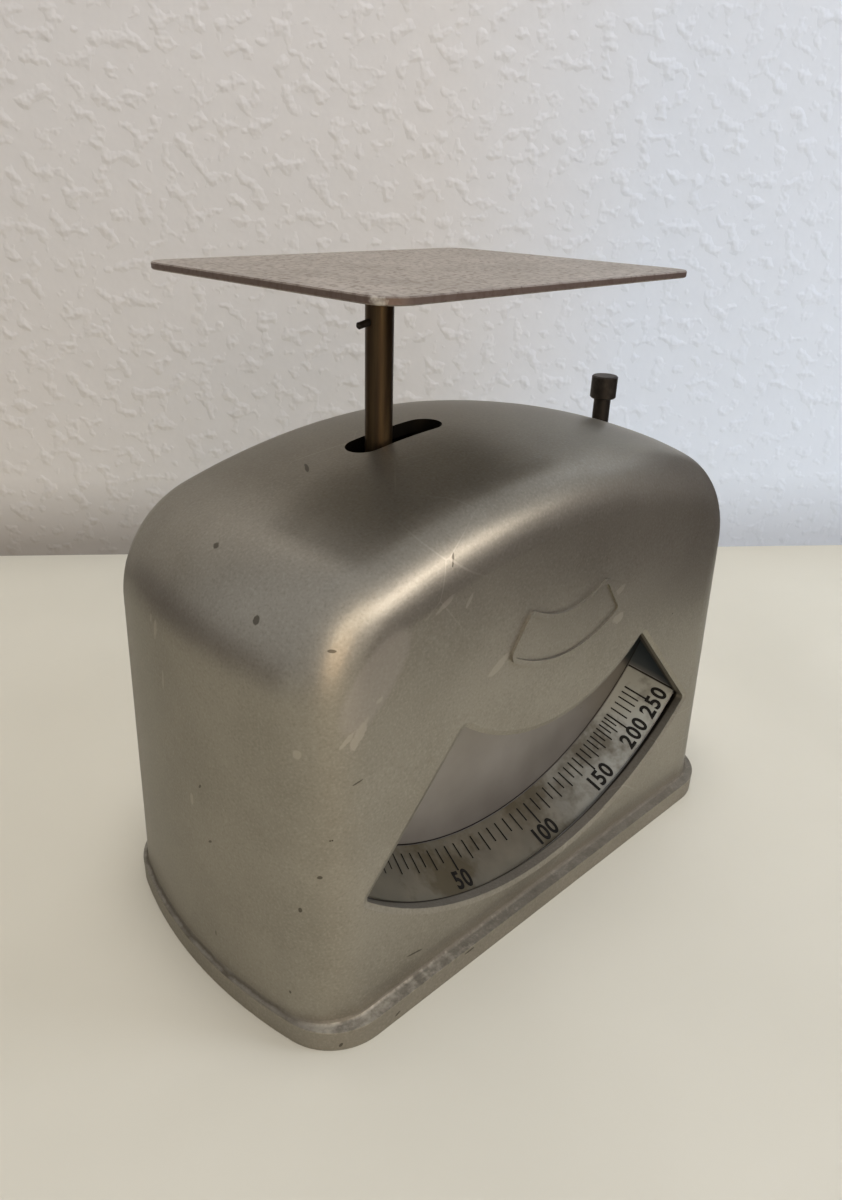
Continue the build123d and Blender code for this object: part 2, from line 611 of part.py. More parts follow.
with BuildPart() as dial_plate:
    # pressed sheet: flat sector and conical rim in one
    front = -DIAL_Y
    rim = -RIM_FRONT_Y
    rim_radius = DIAL_RADIUS + (rim - front) * CONE_SLOPE
    skin = SHEET / math.cos(math.radians(DIAL_CONE))
    with BuildSketch(meridian(DIAL_START)) as section:
        with BuildLine():
            Polyline(
                (front, 7),
                (front, DIAL_RADIUS),
                (rim, rim_radius),
                (rim, rim_radius + skin),
                (front - SHEET, DIAL_RADIUS + skin - SHEET * CONE_SLOPE),
                (front - SHEET, 7),
                close=True,
            )
        make_face()
    revolve(section.sketch, axis=BEAM_AXIS, revolution_arc=DIAL_END - DIAL_START)
    # the right end is cut straight to clear the casting's corner
    with BuildSketch(front_plane(DIAL_Y + 2)) as rim_trim:
        with Locations((RIM_TRIM_X, 0)):
            Rectangle(12, 80, align=Align.MIN)
    extrude(rim_trim.sketch, amount=20, mode=Mode.SUBTRACT)
    # eye round the front bush, and the arm that the zero screw presses on
    with BuildSketch(front_plane(DIAL_Y + SHEET)) as arm:
        with Locations((0, PIVOT_Z)):
            Circle(10)
        with Locations((0, PIVOT_Z)):
            Rectangle(SCREW_X + LUG_WIDTH / 2, LUG_WIDTH, align=(Align.MIN, Align.CENTER))
    extrude(arm.sketch, amount=SHEET)
    with BuildSketch(deck(PIVOT_Z + LUG_WIDTH / 2 - SHEET)) as lug:
        with Locations((SCREW_X, DIAL_Y)):
            Rectangle(LUG_WIDTH, LUG_LENGTH, align=(Align.CENTER, Align.MIN))
        fillet(lug.vertices().group_by(Axis.Y)[-1], 2.5)
    extrude(lug.sketch, amount=SHEET)
    with BuildSketch(front_plane(DIAL_Y + 2)) as holes:
        with Locations((0, PIVOT_Z)):
            Circle(BEARING_RADIUS + RUNNING_CLEARANCE)
        with Locations(*DIAL_SCREW_POINTS):
            Circle(2.2)
    extrude(holes.sketch, amount=4, mode=Mode.SUBTRACT)
dial_plate.part.label = "dial_plate"
export_step(dial_plate.part, "parts/dial_plate.step")

with BuildPart() as dial_scale:
    # printed strip lying on the inside of the rim
    near = -STRIP_BACK_Y
    far = rim - STRIP_MARGIN
    lift = STRIP / math.cos(math.radians(DIAL_CONE))
    with BuildSketch(meridian(STRIP_START)) as section:
        with BuildLine():
            Polyline(
                (near, DIAL_RADIUS + (near - front) * CONE_SLOPE),
                (far, DIAL_RADIUS + (far - front) * CONE_SLOPE),
                (far, DIAL_RADIUS + (far - front) * CONE_SLOPE - lift),
                (near, DIAL_RADIUS + (near - front) * CONE_SLOPE - lift),
                close=True,
            )
        make_face()
    revolve(section.sketch, axis=BEAM_AXIS, revolution_arc=STRIP_END - STRIP_START)
dial_scale.part.label = "dial_scale"
export_step(dial_scale.part, "parts/dial_scale.step")

with BuildPart() as dial_spacers:
    with BuildSketch(front_plane(-UPRIGHT_Y - FRAME_SHEET)) as tubes:
        with Locations(*DIAL_SCREW_POINTS):
            Circle(3.4)
            Circle(DIAL_SCREW_DIAMETER / 2 + RUNNING_CLEARANCE, mode=Mode.SUBTRACT)
    extrude(tubes.sketch, amount=-DIAL_Y - SHEET - UPRIGHT_Y - FRAME_SHEET)
dial_spacers.part.label = "dial_spacers"
export_step(dial_spacers.part, "parts/dial_spacers.step")

with BuildPart() as dial_screws:
    with BuildSketch(front_plane(-UPRIGHT_Y)) as shanks:
        with Locations(*DIAL_SCREW_POINTS):
            Circle(DIAL_SCREW_DIAMETER / 2)
    extrude(shanks.sketch, amount=-DIAL_Y - UPRIGHT_Y + 0.5)
    with BuildSketch(front_plane(DIAL_Y)) as heads:
        with Locations(*DIAL_SCREW_POINTS):
            Circle(3.0)
    extrude(heads.sketch, amount=1.4)
    with BuildSketch(front_plane(DIAL_Y - 0.8)) as driver_slots:
        with Locations(*DIAL_SCREW_POINTS):
            Rectangle(8, 0.8, rotation=20)
    extrude(driver_slots.sketch, amount=2, mode=Mode.SUBTRACT)
dial_screws.part.label = "dial_screws"
export_step(dial_screws.part, "parts/dial_screws.step")

# ---------------------------------------------------------------- guide link
with BuildPart() as guide_link:
    side = fork_cheek(LINK_Z, STEM_LOW_PIVOT_Z, LINK_HUB_RADIUS, LINK_EYE_RADIUS)
    extrude(side.moved(Location((0, FORK_OUTER, 0))), amount=FORK_OUTER - FORK_INNER)
    extrude(side.moved(Location((0, -FORK_INNER, 0))), amount=FORK_OUTER - FORK_INNER)
    with BuildSketch(front_plane(FORK_HUB_HALF)) as hub:
        with Locations((0, LINK_Z)):
            Circle(LINK_HUB_RADIUS)
    extrude(hub.sketch, amount=2 * FORK_HUB_HALF)
    with BuildSketch(front_plane(10)) as bore:
        with Locations((0, LINK_Z)):
            Circle(GUIDE_POST_DIAMETER / 2 + RUNNING_CLEARANCE)
    extrude(bore.sketch, amount=20, mode=Mode.SUBTRACT)
guide_link.part.label = "guide_link"
export_step(guide_link.part, "parts/guide_link.step")

with BuildPart() as guide_post:
    with BuildSketch(front_plane(UPRIGHT_Y + FRAME_SHEET)) as rod:
        with Locations((0, LINK_Z)):
            Circle(GUIDE_POST_DIAMETER / 2)
    extrude(rod.sketch, amount=2 * (UPRIGHT_Y + FRAME_SHEET))
    with BuildSketch(front_plane(-UPRIGHT_Y - FRAME_SHEET)) as front_head:
        with Locations((0, LINK_Z)):
            Circle(3.2)
    extrude(front_head.sketch, amount=0.9)
    with BuildSketch(front_plane(UPRIGHT_Y + FRAME_SHEET + 0.9)) as rear_head:
        with Locations((0, LINK_Z)):
            Circle(3.2)
    extrude(rear_head.sketch, amount=0.9)
guide_post.part.label = "guide_post"
export_step(guide_post.part, "parts/guide_post.step")

with BuildPart() as guide_collars:
    # tubes that keep the link in the middle of its post
    inner_end = FORK_HUB_HALF + 0.2
    with BuildSketch(front_plane(UPRIGHT_Y)) as tube:
        with Locations((0, LINK_Z)):
            Circle(3.6)
            Circle(GUIDE_POST_DIAMETER / 2, mode=Mode.SUBTRACT)
    extrude(tube.sketch, amount=UPRIGHT_Y - inner_end)
    extrude(tube.sketch.moved(Location((0, -UPRIGHT_Y - inner_end, 0))), amount=UPRIGHT_Y - inner_end)
guide_collars.part.label = "guide_collars"
export_step(guide_collars.part, "parts/guide_collars.step")

# ---------------------------------------------------------------- stem and pan
pin_turn = math.radians(STOP_PIN_DROOP)
stop_pin_plane = Plane(
    origin=(MOVEMENT_X + STEM_X, MOVEMENT_Y, STOP_PIN_Z),
    x_dir=(0, 1, 0),
    z_dir=(-math.cos(pin_turn), 0, -math.sin(pin_turn)),
)

with BuildPart() as stem:
    with BuildSketch(deck(STEM_LOW_PIVOT_Z - STEM_TAIL)) as rod:
        with Locations((STEM_X, 0)):
            Circle(STEM_DIAMETER / 2)
    extrude(rod.sketch, amount=PAN_TOP - PAN_THICKNESS - STEM_LOW_PIVOT_Z + STEM_TAIL)
    chamfer(stem.edges().group_by(Axis.Z)[0], 0.6)
    # turned spigot, peened over flush in the pan
    with BuildSketch(deck(PAN_TOP - PAN_THICKNESS)) as spigot:
        with Locations((STEM_X, 0)):
            Circle(SPIGOT_DIAMETER / 2)
    extrude(spigot.sketch, amount=PAN_THICKNESS)
    with BuildSketch(front_plane(6)) as upper_hole:
        with Locations((STEM_X, STEM_TOP_PIVOT_Z)):
            Circle(PIN_DIAMETER / 2 + RUNNING_CLEARANCE)
    extrude(upper_hole.sketch, amount=12, mode=Mode.SUBTRACT)
    with BuildSketch(front_plane(6)) as lower_hole:
        with Locations((STEM_X, STEM_LOW_PIVOT_Z)):
            Circle(PIN_DIAMETER / 2 + OPEN_PIVOT_CLEARANCE)
    extrude(lower_hole.sketch, amount=12, mode=Mode.SUBTRACT)
    with BuildSketch(stop_pin_plane) as pin_hole:
        Circle(STOP_PIN_DIAMETER / 2)
    extrude(pin_hole.sketch, amount=6, mode=Mode.SUBTRACT)
stem.part.label = "stem"
export_step(stem.part, "parts/stem.step")

with BuildPart() as stop_pin:
    with BuildSketch(stop_pin_plane) as wire:
        Circle(STOP_PIN_DIAMETER / 2)
    extrude(wire.sketch, amount=6.2)
    chamfer(stop_pin.faces().sort_by(Axis.X)[0].edges(), 0.25)
stop_pin.part.label = "stop_pin"
export_step(stop_pin.part, "parts/stop_pin.step")


def cross_pin(z):
    """Pin through a fork and the stem."""
    reach = FORK_OUTER + 1
    with BuildSketch(front_plane(reach)) as wire:
        with Locations((STEM_X, z)):
            Circle(PIN_DIAMETER / 2)
    return extrude(wire.sketch, amount=2 * reach)


stem_upper_pin = cross_pin(STEM_TOP_PIVOT_Z)
stem_upper_pin.label = "stem_upper_pin"
export_step(stem_upper_pin, "parts/stem_upper_pin.step")
stem_lower_pin = cross_pin(STEM_LOW_PIVOT_Z)
stem_lower_pin.label = "stem_lower_pin"
export_step(stem_lower_pin, "parts/stem_lower_pin.step")

with BuildPart() as pan:
    turn = math.radians(PAN_TURN)
    pan_plane = Plane(
        origin=(MOVEMENT_X + STEM_X, MOVEMENT_Y, PAN_TOP - PAN_THICKNESS),
        x_dir=(math.cos(turn), math.sin(turn), 0),
        z_dir=(0, 0, 1),
    )
    with BuildSketch(pan_plane) as blank:
        with Locations((PAN_OFFSET, 0)):
            RectangleRounded(PAN_LENGTH, PAN_WIDTH, PAN_CORNER)
    extrude(blank.sketch, amount=PAN_THICKNESS)
    chamfer(pan.faces().filter_by(Plane.XY).edges(), 0.25)
    with BuildSketch(pan_plane) as rivet_hole:
        Circle(SPIGOT_DIAMETER / 2)
    extrude(rivet_hole.sketch, amount=PAN_THICKNESS, mode=Mode.SUBTRACT)
pan.part.label = "pan"
export_step(pan.part, "parts/pan.step")

# ---------------------------------------------------------------- zero screw
with BuildPart() as zero_screw:
    body_radius = SCREW_DIAMETER / 2
    head_radius = SCREW_HEAD_DIAMETER / 2
    with BuildSketch(Plane.XZ) as profile:
        with BuildLine():
            Polyline(
                (0, SCREW_TIP_Z),
                (1.0, SCREW_TIP_Z),
                (body_radius, SCREW_TIP_Z + 1.4),
                (body_radius, SCREW_HEAD_Z),
                (head_radius - 0.4, SCREW_HEAD_Z),
                (head_radius, SCREW_HEAD_Z + 0.4),
                (head_radius, SCREW_TOP_Z - 0.35),
                (head_radius - 0.35, SCREW_TOP_Z),
                (0, SCREW_TOP_Z),
                close=True,
            )
        make_face()
    revolve(profile.sketch, axis=Axis.Z)
zero_screw = zero_screw.part.moved(Location((MOVEMENT_X + SCREW_X, MOVEMENT_Y, 0)))
zero_screw.label = "zero_screw"
export_step(zero_screw, "parts/zero_screw.step")
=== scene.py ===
import bpy
import math
from mathutils import Matrix, Vector


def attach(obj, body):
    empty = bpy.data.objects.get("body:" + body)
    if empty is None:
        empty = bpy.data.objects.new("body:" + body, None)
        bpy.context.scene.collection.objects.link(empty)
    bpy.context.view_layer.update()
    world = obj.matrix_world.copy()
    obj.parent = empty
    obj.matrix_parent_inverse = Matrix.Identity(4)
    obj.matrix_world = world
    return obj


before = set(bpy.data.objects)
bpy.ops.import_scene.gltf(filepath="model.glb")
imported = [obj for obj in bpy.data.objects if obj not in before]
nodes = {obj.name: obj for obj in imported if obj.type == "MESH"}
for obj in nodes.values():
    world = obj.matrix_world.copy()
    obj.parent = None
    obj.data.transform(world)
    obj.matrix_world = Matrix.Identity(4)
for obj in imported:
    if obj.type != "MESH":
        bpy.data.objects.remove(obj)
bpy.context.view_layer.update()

# ------------------------------------------------------------------ table, wall and light
# A pale lacquered table top against a wall in painted chip paper. A soft lamp hangs over
# it, cool daylight comes from the right, and dark cards and bright panes out of sight give
# the satin metal something to mirror.
MM = 0.001


def linear(hex_colour):
    """sRGB hex value as the linear colour that a shader takes."""
    values = [int(hex_colour[i:i + 2], 16) / 255 for i in (1, 3, 5)]
    return tuple(v / 12.92 if v <= 0.04045 else ((v + 0.055) / 1.055) ** 2.4 for v in values) + (1.0,)


def fill(tree, node, sockets):
    """Gives a node's inputs their values, colours or links."""
    for name, value in sockets.items():
        if isinstance(value, bpy.types.NodeSocket):
            tree.links.new(value, node.inputs[name])
        else:
            node.inputs[name].default_value = linear(value) if isinstance(value, str) else value


def add_node(material, kind, sockets, out=0, **settings):
    """Adds a shader node with its settings and inputs, and gives back one of its outputs."""
    node = material.node_tree.nodes.new("ShaderNode" + kind)
    for name, value in settings.items():
        setattr(node, name, value)
    fill(material.node_tree, node, sockets)
    return node.outputs[out]


def start_material(name):
    """A new material, and the place of each point on it in metres."""
    material = bpy.data.materials.new(name)
    material.use_nodes = True
    return material, add_node(material, "TexCoord", {}, "Object")


def shade(material, sockets):
    """Gives the material's main shader its values and patterns."""
    fill(material.node_tree, material.node_tree.nodes["Principled BSDF"], sockets)


def coat(material, under, over, cover, low=0.0, high=1.0, amount=1.0):
    """A colour laid over another where a value climbs from low to high, up to an amount."""
    climb = {"Value": cover, "From Min": low, "From Max": high, "To Max": amount}
    mask = add_node(material, "MapRange", climb)
    return add_node(material, "Mix", {0: mask, 6: under, 7: over}, 2, data_type="RGBA")


# lacquered table top: almost even, with clouds some 100 mm wide
table, place = start_material("pale_lacquered_table")
cloud = add_node(table, "TexNoise", {"Vector": place, "Scale": 1000 / 110, "Detail": 3.0})
shade(table, {"Base Color": coat(table, "#d3cebc", "#ccc7b5", cloud, 0.3, 0.7), "Roughness": 0.5})
bpy.ops.object.select_all(action="DESELECT")
bpy.ops.mesh.primitive_plane_add(size=3.0, location=(0, 0, 0))
floor = bpy.context.object
floor.name = "table_top"
floor.data.materials.append(table)

# wood-chip wallpaper painted white: lumps about 5 mm wide scattered over broad ones; its
# colour is painted cooler to the right, as daylight, and grey along the table, most at the
# left, as painted shade; a faint blue glow that only the camera sees stands in for cool
# daylight at the right; seen from behind the wall is clear
paper, place = start_material("painted_chip_wallpaper")
chips = add_node(paper, "TexNoise", {"Vector": place, "Scale": 1000 / 7, "Detail": 2.0, "Roughness": 0.4})
chips = add_node(paper, "MapRange", {"Value": chips, "From Min": 0.53, "From Max": 0.72})
coarse = add_node(paper, "TexNoise", {"Vector": place, "Scale": 1000 / 14, "Detail": 3.0})
relief = add_node(paper, "Math", {0: coarse, 1: 0.9, 2: chips}, operation="MULTIPLY_ADD")
across, upward = (add_node(paper, "SeparateXYZ", {"Vector": place}, n) for n in "XY")
# painted light: the colour turns cooler to the right, where daylight falls
colour = coat(paper, "#e6e2dc", "#e4e8ec", across, -0.01, 0.09)
# painted shade: grey along the table, strongest at the left, fading towards the right
shade_strength = add_node(paper, "MapRange", {
    "Value": across, "From Min": -0.01, "From Max": 0.09, "To Min": 1.0, "To Max": 0.6,
})
colour = coat(paper, colour, "#a8a29b", upward, 0.040, 0.006, shade_strength)
cool = add_node(paper, "MapRange", {"Value": across, "From Min": -0.02, "From Max": 0.08, "To Max": 0.13})
cool = add_node(paper, "MapRange", {
    "Value": upward, "From Min": 0.26, "From Max": 0.06, "To Min": 0.03, "To Max": cool,
})
seen = add_node(paper, "LightPath", {}, "Is Camera Ray")
clear = add_node(paper, "NewGeometry", {}, "Backfacing")
shade(paper, {
    "Base Color": colour,
    "Roughness": 0.85,
    "Normal": add_node(paper, "Bump", {"Strength": 0.22, "Distance": 0.0016, "Height": relief}),
    "Emission Color": "#a3cfff",
    "Emission Strength": add_node(paper, "Math", {0: cool, 1: seen}, operation="MULTIPLY"),
    "Alpha": add_node(paper, "Math", {0: 1.0, 1: clear}, operation="SUBTRACT"),
})
wall_left = Vector((-28.5, 282.4, 0)) * MM
wall_right = Vector((325.4, 14.6, 0)) * MM
along = (wall_right - wall_left).normalized()
bpy.ops.mesh.primitive_plane_add(
    size=3.0,
    location=(wall_left + wall_right) / 2,
    rotation=(math.radians(90), 0, math.atan2(along.y, along.x)),
)
wall = bpy.context.object
wall.name = "wall"
wall.data.materials.append(paper)

# dark cards that only glossy surfaces see, one at the right and a low one at the left
card_brown, place = start_material("dark_card")
shade(card_brown, {"Base Color": "#381a28", "Roughness": 0.9})
for name, place, width, height, turn, tilt in (
    ("dark_card", (0.13, -0.125, 0.095), 0.44, 0.16, 47, 8),
    ("low_dark_card", (-0.30, 0.19, 0.055), 0.4, 0.10, 44, 0),
):
    bpy.ops.object.select_all(action="DESELECT")
    bpy.ops.mesh.primitive_plane_add(
        size=1.0,
        location=place,
        rotation=(math.radians(90), 0, math.radians(turn)),
    )
    card = bpy.context.object
    card.name = name
    spread = Matrix.Diagonal((width, height, 1, 1))
    card.data.transform(Matrix.Rotation(math.radians(tilt), 4, "Z") @ spread)
    card.data.materials.append(card_brown)
    card.visible_camera = False
    card.visible_diffuse = False
    card.visible_shadow = False


def soft_lamp(name, place, aim, width, height, power, colour):
    """A broad soft lamp that faces a point and stays out of sight."""
    data = bpy.data.lights.new(name, "AREA")
    data.shape = "RECTANGLE"
    data.size = width
    data.size_y = height
    data.energy = power
    data.color = linear(colour)[:3]
    lamp = bpy.data.objects.new(name, data)
    bpy.context.scene.collection.objects.link(lamp)
    lamp.location = place
    lamp.visible_camera = False
    lamp.rotation_euler = (Vector(aim) - Vector(place)).to_track_quat("-Z", "Y").to_euler()
    return lamp


# these two light the scene but stay out of the metal's reflections, so that the lamp overhead
# shows no bright patch on the shoulder
ceiling = soft_lamp("ceiling", (-0.07, -0.06, 1.12), (0, 0, 0.06), 0.4, 0.4, 7.6, "#fbfaff")
ceiling.visible_glossy = False
daylight = soft_lamp("daylight", (0.50, -0.52, 0.46), (0.2, 0.05, 0.1), 0.3, 0.4, 2.3, "#dfeaff")
daylight.visible_glossy = False
soft_lamp("room_lamp", (-0.48, -0.88, 0.26), (0, 0, 0.08), 0.4, 0.45, 1.4, "#ffdfb8")
# two bright panes placed for the satin metal to mirror; matt surfaces get no light from them
right_pane = soft_lamp("right_pane", (0.24, -0.72, 0.45), (-0.02, 0, 0.09), 0.5, 0.18, 2.1, "#fff4ea")
right_pane.visible_diffuse = False
left_pane = soft_lamp("left_pane", (-0.26, -0.76, 0.56), (-0.06, 0, 0.1), 0.6, 0.2, 1.5, "#fff0dc")
left_pane.visible_diffuse = False

# plain pale surroundings: dim as a light, brighter where the metal mirrors them, and
# brightest to the camera
room = bpy.data.worlds.new("room")
bpy.context.scene.world = room
room.use_nodes = True
seen = add_node(room, "LightPath", {}, "Is Camera Ray")
mirrored = add_node(room, "LightPath", {}, "Is Glossy Ray")
strength = add_node(room, "Math", {0: mirrored, 1: 0.4, 2: 0.27}, operation="MULTIPLY_ADD")
fill(room.node_tree, room.node_tree.nodes["Background"], {
    "Color": "#dcdcde",
    "Strength": add_node(room, "Math", {0: seen, 1: 0.7, 2: strength}, operation="MULTIPLY_ADD"),
})

camera_data = bpy.data.cameras.new("camera")
camera_data.sensor_fit = "AUTO"
camera_data.sensor_width = 36.0
camera_data.lens = 26.01
camera_data.clip_start = 0.01
camera = bpy.data.objects.new("camera", camera_data)
bpy.context.scene.collection.objects.link(camera)
yaw, pitch, roll = (math.radians(a) for a in (44.03, 25.79, 1.92))
forward = Vector((math.sin(yaw) * math.cos(pitch), math.cos(yaw) * math.cos(pitch), -math.sin(pitch)))
level = Vector((math.cos(yaw), -math.sin(yaw), 0))
upright = level.cross(forward)
right = level * math.cos(roll) + upright * math.sin(roll)
up = upright * math.cos(roll) - level * math.sin(roll)
camera_place = Vector((-151.55, -146.28, 173.78)) * MM
aim = Matrix((right, up, -forward)).transposed().to_4x4()
camera.matrix_world = Matrix.Translation(camera_place) @ aim
bpy.context.scene.camera = camera
bpy.context.scene.view_settings.view_transform = "Standard"

# ------------------------------------------------------------------ housing
# Thin-walled light-alloy casting, sprayed outside with a silver lacquer: satin, mottled
# with age, pitted and scuffed, darkened in the corner above the bead as painted shade with
# some dirt, and rubbed to bright metal on the bead's front edge. Inside and down the slot it
# is painted dark, as shade.


def give(material, *names):
    """Gives CAD nodes their finish."""
    for name in names:
        data = nodes[name].data
        data.materials.clear()
        data.materials.append(material)


def pits(material, place, cell, radius, share):
    """Scattered round pits: cell size and radius in mm, and the share of cells with a pit."""
    cells = {"Vector": place, "Scale": 1000 / cell}
    distance = add_node(material, "TexVoronoi", cells, "Distance")
    number = add_node(material, "TexVoronoi", cells, "Color")
    pick = add_node(material, "SeparateColor", {"Color": number})
    chosen = add_node(material, "Math", {0: pick, 1: share}, operation="LESS_THAN")
    rim = radius / cell
    spot = {"Value": distance, "From Min": rim, "From Max": 0.6 * rim, "To Max": chosen}
    return add_node(material, "MapRange", spot)


def scuffs(material, place, torn, marks):
    """Mask of torn-edged marks, each with its middle and half lengths in mm and its turn in degrees."""
    mask = None
    for middle, half, turn in marks:
        local = add_node(material, "Mapping", {
            "Vector": place,
            "Location": Vector(middle) * MM,
            "Rotation": [math.radians(a) for a in turn],
            "Scale": Vector(half) * MM,
        }, vector_type="TEXTURE")
        distance = add_node(material, "VectorMath", {0: local}, "Value", operation="LENGTH")
        edge = add_node(material, "Math", {0: torn, 1: 1.3, 2: distance}, operation="MULTIPLY_ADD")
        mark = add_node(material, "MapRange", {"Value": edge, "From Min": 1.8, "From Max": 1.55})
        mask = add_node(material, "Math", {0: mask, 1: mark}, operation="MAXIMUM") if mask else mark
    return mask


silver_lacquer, place = start_material("sprayed_silver_lacquer")
axes = {"Vector": place}
x, y, z = (add_node(silver_lacquer, "SeparateXYZ", axes, n) for n in "XYZ")
# clouds some 40 mm wide, and the grain of the metal flake, drawn at 0.6 mm to show
cloud = add_node(silver_lacquer, "TexNoise", {
    "Vector": place, "Scale": 1000 / 40, "Detail": 5.0, "Roughness": 0.6,
})
flake = add_node(silver_lacquer, "TexNoise", {"Vector": place, "Scale": 1000 / 0.6, "Detail": 2.0})
torn = add_node(silver_lacquer, "TexNoise", {
    "Vector": place, "Scale": 1000 / 2.2, "Detail": 3.0, "Roughness": 0.6,
})
colour = coat(silver_lacquer, "#8f8a7e", "#9d988c", cloud, 0.35, 0.65)
colour = coat(silver_lacquer, colour, "#bcb8ab", flake, 0.5, 0.75, 0.25)
colour = coat(silver_lacquer, colour, "#635e50", flake, 0.42, 0.3, 0.18)
# pinholes a quarter of a millimetre across, and longer chips down to the dark casting
colour = coat(silver_lacquer, colour, "#453e31", pits(silver_lacquer, place, 6.5, 0.26, 0.3))
DARK_CHIPS = (
    ((-73.6, -22.0, 98.9), (1.58, 0.72, 1.01), (0, 40, 0)),
    ((-67.8, -36.6, 96.7), (0.36, 1.15, 0.32), (0, 0, 35)),
    ((-80.5, -6.7, 55.3), (0.58, 0.29, 0.68), (40, 0, 0)),
    ((-80.7, -9.1, 41.8), (0.58, 0.29, 0.72), (50, 0, 0)),
    ((-72.6, -37.9, 46.7), (0.58, 1.15, 0.40), (0, 0, -45)),
    ((-75.5, -34.9, 37.6), (0.50, 0.36, 0.58), (0, 0, 0)),
    ((-81.4, -9.0, 14.8), (0.58, 0.18, 0.79), (0, 0, 0)),
    ((-77.4, -32.6, 13.1), (0.43, 0.29, 0.43), (0, 0, 0)),
    ((-69.6, -2.5, 106.8), (1.15, 0.94, 0.72), (0, 0, 30)),
    ((-43.7, 2.4, 116.8), (0.43, 2.16, 0.58), (0, 0, -30)),
    ((-39.1, -38.3, 107.4), (0.22, 1.08, 1.58), (0, 25, 0)),
    ((-49.3, -42.4, 12.3), (2.45, 0.58, 0.22), (0, 12, 0)),
    ((-57.6, -45.9, 1.9), (0.86, 0.43, 0.29), (0, -20, 0)),
    ((-33.9, -45.9, 4.6), (1.58, 0.43, 0.29), (0, 0, 0)),
    ((-72.0, -43.3, 1.7), (0.36, 0.58, 0.65), (0, 30, 0)),
    ((-64.9, -40.7, 68.3), (1.44, 0.58, 0.22), (0, -15, 0)),
)
chipped = scuffs(silver_lacquer, place, torn, DARK_CHIPS)
colour = coat(silver_lacquer, colour, "#40392d", chipped, amount=0.75)
# haze of old glue, and pale scrapes where something rubbed off on the lacquer
GLUE = (((-60.5, -40.4, 89.0), (4.6, 3.0, 11.5), (0, 40, 0)),)
haze = scuffs(silver_lacquer, place, cloud, GLUE)
colour = coat(silver_lacquer, colour, "#b3aba4", haze, amount=0.35)
PALE_SCRAPES = (
    ((-79.7, 8.0, 87.5), (1.0, 0.7, 2.3), (10, 0, 0)),
    ((-79.7, 10.2, 89.0), (1.0, 0.5, 0.9), (0, 0, 0)),
    ((-80.0, 6.2, 76.0), (1.0, 0.3, 2.2), (8, 0, 0)),
    ((-74.5, -34.3, 75.8), (0.9, 0.8, 1.0), (0, 0, 20)),
    ((-80.9, -2.9, 49.8), (1.0, 0.55, 1.6), (0, 0, 0)),
    ((-59.5, -40.7, 84.7), (0.9, 0.8, 0.45), (0, -25, 0)),
    ((-64.3, -40.5, 79.2), (1.1, 0.9, 3.4), (0, 32, 0)),
    ((-67.0, -39.9, 78.4), (0.5, 1.2, 2.2), (0, 45, 0)),
    ((-42.3, -40.3, 99.6), (2.6, 0.8, 0.6), (0, -28, 0)),
    ((-35.5, -40.3, 98.3), (1.6, 0.8, 0.4), (0, -55, 0)),
    ((-25.4, -40.8, 79.6), (3.6, 0.9, 1.0), (0, -30, 0)),
    ((19.6, -40.9, 76.6), (2.2, 0.9, 1.3), (0, -12, 0)),
    ((18.6, -40.8, 84.4), (2.2, 0.9, 0.8), (0, -22, 0)),
)
scraped = scuffs(silver_lacquer, place, torn, PALE_SCRAPES)
colour = coat(silver_lacquer, colour, "#b3ab9f", scraped, amount=0.7)
# hairline scratches in rubbed patches, in cells some 20 mm wide
cells = {"Vector": place, "Scale": 1000 / 20}
webs = add_node(silver_lacquer, "TexVoronoi", cells, feature="DISTANCE_TO_EDGE")
patch = add_node(silver_lacquer, "TexNoise", {"Vector": place, "Scale": 1000 / 55, "Detail": 2.0})
patch = add_node(silver_lacquer, "MapRange", {
    "Value": patch, "From Min": 0.58, "From Max": 0.66, "To Max": 0.4,
})
hairline = add_node(silver_lacquer, "MapRange", {
    "Value": webs, "From Min": 0.010, "From Max": 0.004, "To Max": patch,
})
colour = coat(silver_lacquer, colour, "#bdb6a9", hairline)
# thin dark line in the corner above the bead, wavering by half a millimetre, and fainter
# along the front: painted shade of the cove there, with some dirt
ragged = add_node(silver_lacquer, "TexNoise", {
    "Vector": place, "Scale": 1000 / 6, "Detail": 4.0, "Roughness": 0.65,
})
foot = add_node(silver_lacquer, "Math", {0: ragged, 1: 0.0012, 2: z}, operation="MULTIPLY_ADD")
corner_shade_and_dirt = add_node(silver_lacquer, "MapRange", {
    "Value": y, "From Min": -0.036, "From Max": -0.028, "To Min": 0.5, "To Max": 0.75,
})
corner_shade_and_dirt = add_node(silver_lacquer, "MapRange", {
    "Value": foot, "From Min": 0.0074, "From Max": 0.0064, "To Max": corner_shade_and_dirt,
})
corner_shade_and_dirt = add_node(silver_lacquer, "MapRange", {
    "Value": foot, "From Min": 0.0061, "From Max": 0.0065, "To Max": corner_shade_and_dirt,
})
colour = coat(silver_lacquer, colour, "#4f4738", corner_shade_and_dirt)
# bead's upper edge: rubbed to bright metal at the front left corner, dying out to the right
rub = add_node(silver_lacquer, "MapRange", {"Value": z, "From Min": 0.0052, "From Max": 0.0056})
rub = add_node(silver_lacquer, "MapRange", {
    "Value": z, "From Min": 0.00598, "From Max": 0.0059, "To Max": rub,
})
rub = add_node(silver_lacquer, "MapRange", {
    "Value": y, "From Min": -0.034, "From Max": -0.041, "To Max": rub,
})
reach = add_node(silver_lacquer, "MapRange", {
    "Value": x, "From Min": -0.068, "From Max": -0.01, "To Min": 0.36, "To Max": 0.68,
})
scratched = add_node(silver_lacquer, "TexNoise", {"Vector": place, "Scale": 1000 / 1.6, "Detail": 2.0})
worn = add_node(silver_lacquer, "Math", {0: scratched, 1: reach}, operation="SUBTRACT")
rub = add_node(silver_lacquer, "MapRange", {
    "Value": worn, "From Min": -0.05, "From Max": 0.3, "To Max": rub,
})
colour = coat(silver_lacquer, colour, "#cbc5b6", rub, amount=0.8)
